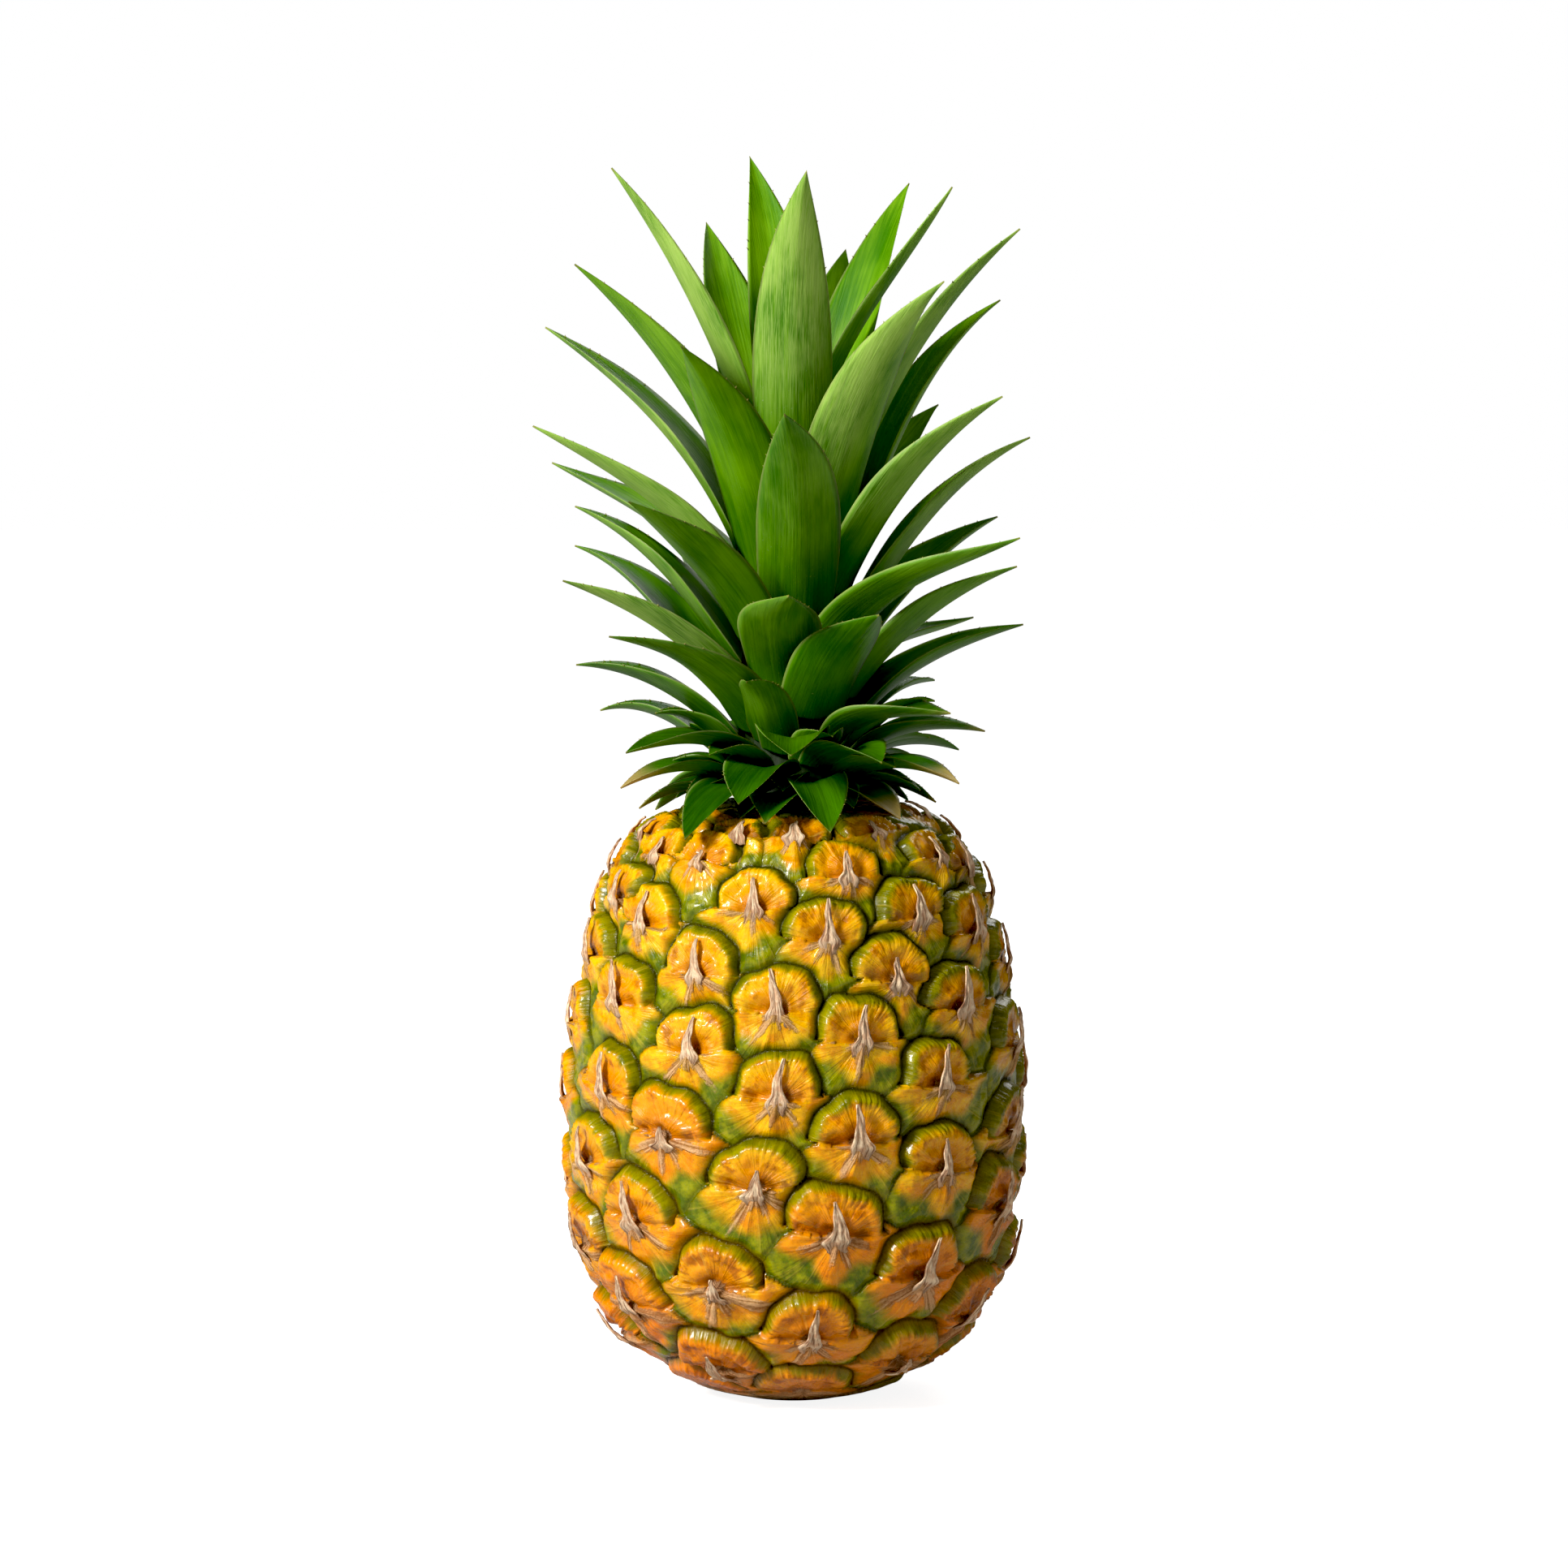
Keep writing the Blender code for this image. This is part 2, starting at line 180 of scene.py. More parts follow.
def smoothstep(low, high, value):
    """Smooth ramp from 0 at low to 1 at high."""
    t = np.clip((value - low) / (high - low), 0.0, 1.0)
    return t * t * (3.0 - 2.0 * t)


class Tree:
    """Short way to wire a material's nodes."""

    def __init__(self, name):
        self.material = bpy.data.materials.new(name)
        self.material.use_nodes = True
        self.nodes = self.material.node_tree.nodes
        self.links = self.material.node_tree.links
        self.shader = self.nodes["Principled BSDF"]

    def feed(self, socket, value):
        """Link a node's output to a socket, or set a plain value on it."""
        if isinstance(value, bpy.types.NodeSocket):
            self.links.new(value, socket)
        else:
            socket.default_value = value

    def attribute(self, name, output="Fac"):
        """Field stored on the mesh's points."""
        node = self.nodes.new("ShaderNodeAttribute")
        node.attribute_name = name
        return node.outputs[output]

    def position(self):
        return self.nodes.new("ShaderNodeTexCoord").outputs["Object"]

    def stretch(self, vector, scale):
        """Vector scaled apart along its three parts."""
        node = self.nodes.new("ShaderNodeMapping")
        self.feed(node.inputs["Vector"], vector)
        node.inputs["Scale"].default_value = scale
        return node.outputs[0]

    def noise(self, vector, scale, detail=3.0, roughness=0.55):
        """Cloudy pattern between 0 and 1."""
        node = self.nodes.new("ShaderNodeTexNoise")
        self.feed(node.inputs["Vector"], vector)
        node.inputs["Scale"].default_value = scale
        node.inputs["Detail"].default_value = detail
        node.inputs["Roughness"].default_value = roughness
        return node.outputs["Fac"]

    def math(self, operation, first, second=0.0, clamp=False):
        """Arithmetic on one or two values."""
        node = self.nodes.new("ShaderNodeMath")
        node.operation = operation
        node.use_clamp = clamp
        self.feed(node.inputs[0], first)
        self.feed(node.inputs[1], second)
        return node.outputs[0]

    def add(self, first, second, clamp=False):
        return self.math("ADD", first, second, clamp)

    def take(self, first, second, clamp=False):
        return self.math("SUBTRACT", first, second, clamp)

    def times(self, first, second):
        return self.math("MULTIPLY", first, second)

    def swing(self, value, amount):
        """A value's distance from its middle of 0.5, times an amount."""
        return self.times(self.take(value, 0.5), amount)

    def ramp(self, value, low, high):
        """0 at low and 1 at high, eased at both ends."""
        node = self.nodes.new("ShaderNodeMapRange")
        node.interpolation_type = "SMOOTHSTEP"
        self.feed(node.inputs["Value"], value)
        node.inputs["From Min"].default_value = low
        node.inputs["From Max"].default_value = high
        return node.outputs["Result"]

    def mix(self, factor, first, second):
        """Blend of two colours."""
        node = self.nodes.new("ShaderNodeMix")
        node.data_type = "RGBA"
        self.feed(node.inputs[0], factor)
        self.feed(node.inputs[6], first)
        self.feed(node.inputs[7], second)
        return node.outputs[2]

    def bump(self, height, strength, distance, normal=None):
        """Fine relief on top of another normal."""
        node = self.nodes.new("ShaderNodeBump")
        self.feed(node.inputs["Height"], height)
        node.inputs["Strength"].default_value = strength
        node.inputs["Distance"].default_value = distance
        if normal is not None:
            self.feed(node.inputs["Normal"], normal)
        return node.outputs["Normal"]


def make_object(name, points, faces, material, fields=None, vectors=None):
    """Mesh object from arrays (mm), with per-vertex fields for its material."""
    mesh = bpy.data.meshes.new(name)
    mesh.vertices.add(len(points))
    mesh.vertices.foreach_set("co", (np.asarray(points) * MM).astype(np.float32).ravel())
    faces = [np.asarray(group) for group in faces if len(group)]
    sizes = np.concatenate([np.full(len(group), group.shape[1]) for group in faces])
    loops = np.concatenate([group.ravel() for group in faces])
    mesh.loops.add(len(loops))
    mesh.loops.foreach_set("vertex_index", loops.astype(np.int32))
    mesh.polygons.add(len(sizes))
    starts = np.concatenate([[0], np.cumsum(sizes)[:-1]])
    mesh.polygons.foreach_set("loop_start", starts.astype(np.int32))
    mesh.update(calc_edges=True)
    mesh.validate()
    for field, values in (fields or {}).items():
        layer = mesh.attributes.new(field, "FLOAT", "POINT")
        layer.data.foreach_set("value", np.asarray(values).astype(np.float32).ravel())
    for field, values in (vectors or {}).items():
        layer = mesh.attributes.new(field, "FLOAT_VECTOR", "POINT")
        layer.data.foreach_set("vector", np.asarray(values).astype(np.float32).ravel())
    mesh.materials.append(material)
    mesh.shade_smooth()
    thing = bpy.data.objects.new(name, mesh)
    bpy.context.scene.collection.objects.link(thing)
    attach(thing, "root")
    return thing


# ---------------------------------------------------------------- fruit

def smooth_outline(points, steps):
    """Catmull-Rom curve through (height, radius) points."""
    knots = np.array(points, float)
    knots = np.vstack([2 * knots[0] - knots[1], knots, 2 * knots[-1] - knots[-2]])
    curve = []
    for first in range(len(knots) - 3):
        a, b, c, d = knots[first:first + 4]
        for step in range(steps):
            t = step / steps
            curve.append(0.5 * (2 * b + (c - a) * t + (2 * a - 5 * b + 4 * c - d) * t * t
                                + (3 * b - a - 3 * c + d) * t ** 3))
    curve.append(knots[-2])
    curve = np.array(curve)
    curve[:, 1] = np.maximum(curve[:, 1], 0.0)
    return curve


def eye_places():
    """Azimuth (radians), height and relative size of every eye."""
    number = np.arange(FIRST_EYE, LAST_EYE + 1, dtype=float)
    height = (EYE_HEIGHT + EYE_STEP * number + EYE_STEP_GROWTH * number ** 2
              + EYE_STEP_EASE * number ** 3)
    level = (height - TWIST_CENTRE) / TWIST_SPAN
    azimuth = (np.radians(EYE_AZIMUTH + GOLDEN_ANGLE * number)
               + TWIST * level + TWIST_GROWTH * level ** 2)
    height = height + ROW_TILT * np.sin(azimuth)
    for eye, (sideways, up) in EYE_SHIFT.items():
        azimuth[eye - FIRST_EYE] += sideways / 60.0
        height[eye - FIRST_EYE] += up
    size = np.interp(number, (FIRST_EYE, -20, 30, LAST_EYE), (0.72, 0.92, 1.05, 1.12))
    return azimuth, height, size


def ripple(azimuth, arc, waves, shortest, longest):
    """Gentle irregular bumps of about unit height that close on themselves around the fruit."""
    total = np.zeros(azimuth.shape)
    for _ in range(waves):
        length = shortest * (longest / shortest) ** chance.random()
        heading = 2 * math.pi * chance.random()
        around = round(2 * math.pi * 60.0 / length * math.cos(heading))
        along = 2 * math.pi / length * math.sin(heading)
        total += np.sin(around * azimuth + along * arc + 2 * math.pi * chance.random())
    return total / math.sqrt(waves / 2.0)


class Rind:
    """The fruit's surface: where its eyes are and how far each point stands out."""

    def __init__(self):
        self.outline = smooth_outline(FRUIT_OUTLINE, OUTLINE_STEPS)
        steps = np.hypot(*np.diff(self.outline, axis=0).T)
        self.lengths = np.concatenate([[0.0], np.cumsum(steps)])
        self.azimuth, self.height, self.size = eye_places()
        rising = np.maximum.accumulate(self.outline[:, 0])
        self.arc = np.interp(self.height, rising, self.lengths)
        self.count = len(self.arc)
        self.chance = chance.random((self.count, 8))
        self.tilt = (self.chance[:, 5] - 0.5) * LIP_TILT

    def profile(self, arc):
        """Height and radius of the outline at a distance along it."""
        height = np.interp(arc, self.lengths, self.outline[:, 0])
        radius = np.interp(arc, self.lengths, self.outline[:, 1])
        return height, radius

    def slope(self, arc):
        """Direction of the outline: (rise, run) per mm of arc."""
        below = self.profile(arc - 0.5)
        above = self.profile(arc + 0.5)
        rise, run = above[0] - below[0], above[1] - below[1]
        size = np.maximum(np.hypot(rise, run), 1e-6)
        return rise / size, run / size

    def local(self, eye, azimuth, arc, radius):
        """Place relative to one eye: across and above its bract's lip, in mm."""
        turn = np.mod(azimuth - self.azimuth[eye] + math.pi, 2 * math.pi) - math.pi
        across = turn * radius / self.size[eye]
        above = (arc - self.arc[eye]) / self.size[eye]
        return across, above - LIP_CURVE * across ** 2 - self.tilt[eye] * across

    def dome_reach(self, eye, across, above):
        """0 at the foot of an eye's dome, 1 on its uneven arched rim."""
        luck = self.chance[eye]
        angle = np.arctan2(above, across)
        uneven = (1.0 + 0.035 * np.sin(3 * angle + 6.3 * luck[0]) + 0.028 * np.sin(
            5 * angle + 6.3 * luck[1]) + 0.018 * np.sin(9 * angle + 6.3 * luck[2]))
        wide = np.abs(across) / (DOME_HALF_WIDTH * (0.94 + 0.12 * luck[6]))
        tall = np.maximum(above, 0.0) / (DOME_HEIGHT * (0.94 + 0.12 * luck[7]))
        reach = (wide ** DOME_ROUNDNESS + tall ** DOME_ROUNDNESS) ** (1 / DOME_ROUNDNESS)
        return reach / uneven

    def survey(self, azimuth, arc):
        """Which eye each point belongs to, and its place on that eye's dome or bract."""
        radius = self.profile(arc)[1]
        shape = azimuth.shape
        dome = np.full(shape, -9.0)
        dome_next = np.full(shape, -9.0)
        dome_eye = np.zeros(shape, int)
        bract = np.full(shape, 9.0)
        bract_next = np.full(shape, 9.0)
        bract_eye = np.zeros(shape, int)
        gaps = np.full(shape, 9.0)
        for eye in range(self.count):
            across, above = self.local(eye, azimuth, arc, radius)
            q = self.dome_reach(eye, across, above)
            inside = np.where(above > 0.0, 1.0 - q, -9.0)
            better = inside > dome
            dome_next = np.where(better, dome, np.maximum(dome_next, inside))
            dome = np.where(better, inside, dome)
            dome_eye = np.where(better, eye, dome_eye)
            half = np.where(above > BRACT_MIDDLE, BRACT_ABOVE, BRACT_BELOW)
            reach = np.hypot(across / BRACT_HALF_WIDTH, (above - BRACT_MIDDLE) / half)
            better = reach < bract
            bract_next = np.where(better, bract, np.minimum(bract_next, reach))
            bract = np.where(better, reach, bract)
            bract_eye = np.where(better, eye, bract_eye)
        on_dome = dome > 0.0
        owner = np.where(on_dome, dome_eye, bract_eye)
        side = np.zeros(shape)
        up = np.zeros(shape)
        for eye in range(self.count):
            across, above = self.local(eye, azimuth, arc, radius)
            mine = owner == eye
            side[mine] = across[mine]
            up[mine] = above[mine]
            gap = self.dome_reach(eye, across, above) - 1.0 + np.maximum(-above, 0.0) / 2.0
            gaps = np.minimum(gaps, np.where(mine | (above < -2.0), 9.0, gap))
        dome_edge = np.minimum(dome, np.where(dome_next > 0, (dome - dome_next) / 2, 9.0))
        dome_edge = dome_edge * EDGE_SCALE
        gaps = np.maximum(gaps, 0.0) * EDGE_SCALE
        seam = np.where(on_dome, 9.0, (bract_next - bract) * SEAM_SCALE)
        edge = np.where(on_dome, dome_edge, gaps)
        return on_dome, owner, side, up, np.clip(edge, 0.0, 20.0), np.clip(seam, 0.0, 9.0)

    def relief(self, azimuth, arc):
        """Height above the outline in mm, and the fields the rind's material reads."""
        on_dome, owner, side, up, edge, seam = self.survey(azimuth, arc)
        size = self.size[owner]
        luck = self.chance[owner]
        lumps = ripple(azimuth, arc, 26, 5.0, 14.0)
        grit = ripple(azimuth, arc, 40, 1.8, 4.0)
        angle = np.arctan2(up - 2.0, side)
        wobble = (np.sin(3.1 * angle + 6.28 * luck[..., 0])
                  + 0.6 * np.sin(7.3 * angle + 9.0 * luck[..., 1]))
        ribs = np.sin(34.0 * angle + 2.6 * wobble + 0.5 * lumps)
        ribs = ribs + 0.5 * np.sin(61.0 * angle + 3.0 * wobble + 4.0 * luck[..., 3])
        ribs = ribs * smoothstep(0.3, 1.6, edge) * smoothstep(6.5, 2.2, edge)
        ribs = ribs * (0.6 + 0.4 * np.sin(4.0 * angle + 12.0 * luck[..., 2]))
        shoulder = 1.0 - np.exp(-(edge / GROOVE_HALF) ** 1.8)
        dish = smoothstep(1.8, 7.0, edge)
        lean = 1.6 * np.sign(luck[..., 5] - 0.5)
        pit = np.exp(-((side - lean) / 1.7) ** 2 - ((up - 1.8) / 2.0) ** 2)
        tuck = np.exp(-(up / 2.4) ** 2)
        dome = (4.3 * shoulder - 1.1 * dish - 1.0 * pit - 1.5 * tuck + 0.38 * ribs
                + 0.50 * lumps * dish + 0.07 * grit * shoulder - 1.5)
        fall = smoothstep(-13.0, -0.2, up)
        keel = np.exp(-(side / 3.4) ** 2)
        wings = smoothstep(7.0, 14.0, np.abs(side))
        turn_down = np.arctan2(side, -(up - 1.0))
        away = np.hypot(side, up - 0.5)
        rays = np.sin(15.0 * turn_down + 2.0 * wobble) + 0.6 * np.sin(
            27.0 * turn_down + 9.0 * luck[..., 4])
        rays = rays * smoothstep(1.5, 4.0, away) * smoothstep(14.0, 7.0, away)
        folds = 1.0 - 1.6 * np.abs(np.sin(2.5 * turn_down + 0.7 * luck[..., 2]))
        folds = folds * smoothstep(0.5, 4.5, away) * smoothstep(15.0, 10.0, away)
        hem = np.exp(-((up + 0.7) / 0.7) ** 2)
        bract = (1.2 + 1.5 * fall + 0.7 * keel * fall - 0.2 * wings * fall + 0.85 * folds
                 + 0.28 * hem) * shoulder - 1.5
        bract = bract - 0.8 * np.exp(-(seam / 1.1) ** 2)
        creases = np.zeros(side.shape)
        for which, fan in enumerate((-0.80, -0.15, 0.40, 0.95)):
            aim = fan + 0.6 * (luck[..., which] - 0.5)
            line = (turn_down - aim) * away
            creases = np.maximum(creases, np.exp(-(line / 0.45) ** 2) * smoothstep(
                5.0 + 7.0 * luck[..., (which + 3) % 8], 2.5, away))
        bract = bract + 0.60 * creases + 0.10 * rays + 0.05 * grit + 0.22 * lumps
        height = RELIEF * np.where(on_dome, dome, bract) * size
        lowness = np.clip(1.0 - self.profile(arc)[0] / LOW_HEIGHT, 0.0, 1.0)
        spread = 0.95 + 0.6 * luck[..., 4] + 0.6 * lowness
        finger = (0.5 + 0.5 * np.sin(5.0 * turn_down + 6.3 * luck[..., 0])) * (
            0.5 + 0.5 * np.sin(9.0 * turn_down + 6.3 * luck[..., 1]))
        root = away / (2.9 + 6.0 * finger)
        paper = np.where(on_dome, smoothstep(3.2, 1.2, away) * 0.7, np.maximum(
            smoothstep(1.6, 0.3, root / spread), 0.7 * creases))
        corner = np.exp(-((np.abs(side - 2.0 * (luck[..., 3] - 0.5)) - 7.0) / 3.2) ** 2
                        - ((up - 1.2) / 2.2) ** 2)
        border = up + 13.6 - 0.48 * np.abs(side)
        border = border + 1.2 * np.sin(5.0 * turn_down + 6.0 * luck[..., 2])
        fields = {
            "on_dome": on_dome.astype(float),
            "edge": edge / FIELD_SPAN,
            "seam": seam / FIELD_SPAN,
            "paper": paper,
            "lip": np.where(on_dome, 0.6 * smoothstep(0.5, 0.0, up), smoothstep(-0.9, -0.1, up)),
            "corner": np.where(on_dome, corner, 0.0) * smoothstep(0.15, 0.65, luck[..., 6]),
            "border": border / FIELD_SPAN + 0.30 * folds,
            "pit": np.where(on_dome, np.clip(pit * 1.2, 0, 1), 0.0),
            "away": np.clip(away / AWAY_SPAN, 0.0, 1.5),
            "mood": luck[..., 1],
            "ripeness": luck[..., 7],
        }
        place = np.stack([side, up, owner * 3.7], -1)
        ray = np.stack([side / np.maximum(away, 0.2), (up - 0.5) / np.maximum(away, 0.2),
                        0.03 * away + owner * 3.7], -1)
        return height, fields, place, ray


rind = Rind()


def rind_material():
    """Waxy rind: golden domes with green rims, papery scars, grooves and seams darkened partly by
    their own olive colour and partly by painted crease shade, and painted shade on the side
    turned from the key light.
    """
    tree = Tree("pineapple_rind")
    spot = tree.position()
    place = tree.attribute("place", "Vector")
    ray = tree.attribute("ray", "Vector")
    edge = tree.attribute("edge")
    on_dome = tree.attribute("on_dome")
    mood = tree.attribute("mood")
    low = tree.attribute("low")
    away = tree.attribute("away")
    # Painted shade: this field grows on the side turned from the key light, where the rind's
    # colour is painted greener and darker.
    shade = tree.attribute("shaded_side_tint")
    broad = tree.noise(spot, 60.0, 3.0)
    fine = tree.noise(spot, 420.0, 5.0, 0.65)
    speck = tree.noise(spot, 1500.0, 4.0, 0.7)
    streaks = tree.noise(tree.stretch(ray, (2.4, 2.4, 1.0)), 1.0, 3.0, 0.55)
    hairs = tree.noise(tree.stretch(ray, (11.0, 11.0, 1.0)), 1.0, 3.0, 0.6)
    cells = tree.noise(tree.stretch(place, (0.22, 0.22, 1.0)), 1.0, 4.0, 0.6)
    flow = tree.add(tree.swing(streaks, 0.8), tree.swing(hairs, 0.22))

    ripe = tree.add(tree.times(low, 0.95), tree.swing(tree.attribute("ripeness"), 0.5))
    ripe = tree.add(ripe, tree.swing(broad, 0.8), clamp=True)
    bright = tree.mix(tree.ramp(cells, 0.40, 0.62), srgb(250, 194, 16), srgb(230, 150, 0))
    gold = tree.mix(ripe, bright, srgb(242, 130, 0))
    green = tree.mix(tree.ramp(cells, 0.35, 0.65), srgb(82, 100, 0), srgb(150, 150, 0))
    warm = tree.add(away, tree.swing(cells, 1.3))
    dome = tree.mix(tree.times(tree.ramp(warm, 0.58, 0.16), 0.75), gold, srgb(212, 116, 0))
    dark = tree.ramp(tree.add(cells, tree.times(low, 0.12)), 0.56, 0.72)
    dome = tree.mix(tree.times(dark, 0.6), dome, srgb(132, 62, 6))
    # Green rims widen on the side turned from the key light, as painted shade.
    reach = tree.add(tree.times(mood, 0.20), tree.times(shade, 0.22))
    reach = tree.take(reach, tree.times(low, 0.16))
    rim = tree.take(tree.add(edge, tree.times(flow, 0.7)), reach)
    dome = tree.mix(tree.times(tree.ramp(rim, 0.32, 0.02), 0.92), dome, green)
    stain = tree.times(tree.attribute("pit"), tree.ramp(fine, 0.30, 0.55))
    nicks = tree.times(tree.attribute("corner"), tree.ramp(fine, 0.36, 0.52))
    stain = tree.math("MAXIMUM", stain, nicks)
    dome = tree.mix(tree.times(stain, 0.75), dome, srgb(98, 54, 26))

    # Bract wings turn greener on the side turned from the key light, as painted shade.
    inner = tree.take(tree.attribute("border"), tree.times(shade, 0.18))
    inner = tree.math("MINIMUM", inner, tree.add(tree.times(edge, 1.6), 0.12))
    inner = tree.add(inner, tree.times(flow, 0.9))
    inner = tree.add(inner, tree.times(low, 0.34))
    wing = tree.mix(tree.ramp(inner, -0.02, 0.62), green, gold)
    base = tree.mix(on_dome, wing, dome)
    base = tree.mix(tree.times(tree.ramp(hairs, 0.55, 0.72), 0.22), base, srgb(252, 214, 90))

    paper = tree.add(tree.attribute("paper"), tree.swing(hairs, 0.5))
    paper = tree.add(paper, tree.swing(fine, 1.3))
    paper = tree.add(paper, tree.times(low, 0.20))
    paper = tree.add(paper, tree.swing(streaks, 0.8))
    paper = tree.ramp(paper, 0.36, 0.80)
    grime = tree.add(tree.times(hairs, 0.7), tree.times(speck, 0.3))
    dry = tree.mix(tree.ramp(grime, 0.42, 0.58), srgb(142, 96, 60), srgb(232, 188, 140))
    base = tree.mix(tree.times(paper, 0.80), base, dry)
    lip = tree.times(tree.attribute("lip"), tree.ramp(fine, 0.40, 0.6))
    base = tree.mix(tree.times(lip, 0.55), base, srgb(138, 88, 44))

    # Painted shade: the side turned from the key light is darkened towards dark olive.
    painted_side_shade = tree.times(tree.times(shade, shade), 0.30)
    base = tree.mix(painted_side_shade, base, srgb(66, 54, 0))
    # Seams between bracts: darker olive, partly their own green and partly painted crease shade.
    seam = tree.times(tree.ramp(tree.attribute("seam"), 0.22, 0.0), 0.6)
    base = tree.mix(seam, base, srgb(78, 82, 0))
    dots = tree.times(tree.ramp(speck, 0.58, 0.69), 0.42)
    base = tree.mix(dots, base, srgb(128, 78, 24))
    # Grooves: the rind's own olive-to-brown valley colour, deepened by painted crease shade.
    groove_tint_and_shade = tree.ramp(edge, 0.24, 0.0)
    valley = tree.mix(tree.ramp(low, 0.25, 0.75), srgb(72, 74, 0), srgb(122, 78, 0))
    base = tree.mix(tree.times(groove_tint_and_shade, 0.72), base, valley)
    # Painted crease shade: near-black along the bottom of the grooves.
    base = tree.mix(tree.times(tree.ramp(edge, 0.09, 0.0), 0.70), base, srgb(34, 32, 0))
    scar = tree.mix(tree.ramp(grime, 0.40, 0.60), srgb(122, 84, 48), srgb(206, 166, 112))
    base = tree.mix(tree.attribute("scar"), base, scar)
    tree.feed(tree.shader.inputs["Base Color"], base)

    rough = tree.add(0.22, tree.times(fine, 0.12))
    rough = tree.add(rough, tree.times(paper, 0.38))
    tree.feed(tree.shader.inputs["Roughness"], rough)
    tree.shader.inputs["Specular IOR Level"].default_value = 0.25
    tree.shader.inputs["Subsurface Weight"].default_value = 0.05
    tree.shader.inputs["Subsurface Radius"].default_value = (0.004, 0.002, 0.0006)
    tree.shader.inputs["Subsurface Scale"].default_value = 0.6
    wax = tree.take(tree.ramp(edge, 0.02, 0.16), paper, clamp=True)
    tree.feed(tree.shader.inputs["Coat Weight"], tree.times(wax, 0.30))
    tree.shader.inputs["Coat Roughness"].default_value = 0.12
    normal = tree.bump(streaks, 0.45, 0.0016)
    normal = tree.bump(fine, 0.40, 0.0009, normal)
    normal = tree.bump(hairs, 0.55, 0.0009, normal)
    normal = tree.bump(tree.times(speck, paper), 0.7, 0.0008, normal)
    tree.feed(tree.shader.inputs["Normal"], normal)
    return tree.material


def build_rind():
    """Fine mesh of the whole fruit."""
    total = rind.lengths[-1]
    arcs = np.linspace(0.0, total, SKIN_ROWS)[:-1]
    turns = 2 * math.pi * np.arange(SKIN_COLUMNS) / SKIN_COLUMNS
    azimuth, arc = np.meshgrid(turns, arcs)
    relief, fields, place, ray = rind.relief(azimuth, arc)
    fade = smoothstep(*BASE_FADE, arc) * smoothstep(total - TOP_FADE[0], total - TOP_FADE[1], arc)
    relief = relief * fade
    height, radius = rind.profile(arc)
    rise, run = rind.slope(arc)
    far = radius + relief * rise
    tall = np.maximum(height - relief * run, 0.0)
    points = np.stack([far * np.sin(azimuth), -far * np.cos(azimuth), tall], -1).reshape(-1, 3)
    fields["low"] = np.clip(1.0 - height / LOW_HEIGHT, 0.0, 1.0)
    # Painted shade: a field that peaks on the side turned from the key light; the rind's colour
    # paints that side greener and darker.
    fields["shaded_side_tint"] = 0.5 + 0.5 * np.sin(azimuth - 0.35)
    fields["scar"] = smoothstep(SCAR_REACH + SCAR_EDGE, SCAR_REACH - SCAR_EDGE,
                                arc + 0.6 * relief)
    rows = len(arcs)
    index = np.arange(rows * SKIN_COLUMNS).reshape(rows, SKIN_COLUMNS)
    after = np.roll(index, -1, axis=1)
    quads = np.stack([index[:-1], after[:-1], after[1:], index[1:]], -1).reshape(-1, 4)
    foot = len(points)
    points = np.vstack([points, [[0.0, 0.0, 0.0], [0.0, 0.0, FRUIT_OUTLINE[-1][0]]]])
    bottom = np.stack([after[0], index[0], np.full(SKIN_COLUMNS, foot)], -1)
    top = np.stack([index[-1], after[-1], np.full(SKIN_COLUMNS, foot + 1)], -1)
    for name, values in fields.items():
        fields[name] = np.concatenate([values.ravel(), [values[0, 0], 0.0]])
    place = np.vstack([place.reshape(-1, 3), np.zeros((2, 3))])
    ray = np.vstack([ray.reshape(-1, 3), np.zeros((2, 3))])
    return make_object("rind", points, [quads, bottom, top], rind_material(),
                       fields, {"place": place, "ray": ray})


skin = build_rind()
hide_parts("fruit_body")


# ---------------------------------------------------------------- dry bract tips

def bract_material():
    """Papery tan scale with grey-brown streaks along it."""
    tree = Tree("dry_bract")
    grain = tree.attribute("grain", "Vector")
    streak = tree.noise(tree.stretch(grain, (2.2, 0.20, 1.0)), 1.0, 5.0, 0.65)
    mottle = tree.noise(tree.stretch(grain, (0.8, 0.5, 1.0)), 1.0, 4.0, 0.6)
    tan = tree.mix(tree.ramp(mottle, 0.35, 0.65), srgb(218, 170, 128), srgb(252, 224, 184))
    colour = tree.mix(tree.ramp(streak, 0.54, 0.36), tan, srgb(136, 92, 62))
    foot = tree.ramp(tree.attribute("along"), 0.30, 0.05)
    foot = tree.times(foot, tree.ramp(mottle, 0.35, 0.6))
    colour = tree.mix(tree.times(foot, 0.7), colour, srgb(134, 92, 62))
    tree.feed(tree.shader.inputs["Base Color"], colour)
    tree.shader.inputs["Roughness"].default_value = 0.78
    tree.feed(tree.shader.inputs["Normal"], tree.bump(streak, 0.8, 0.0008))
    return tree.material


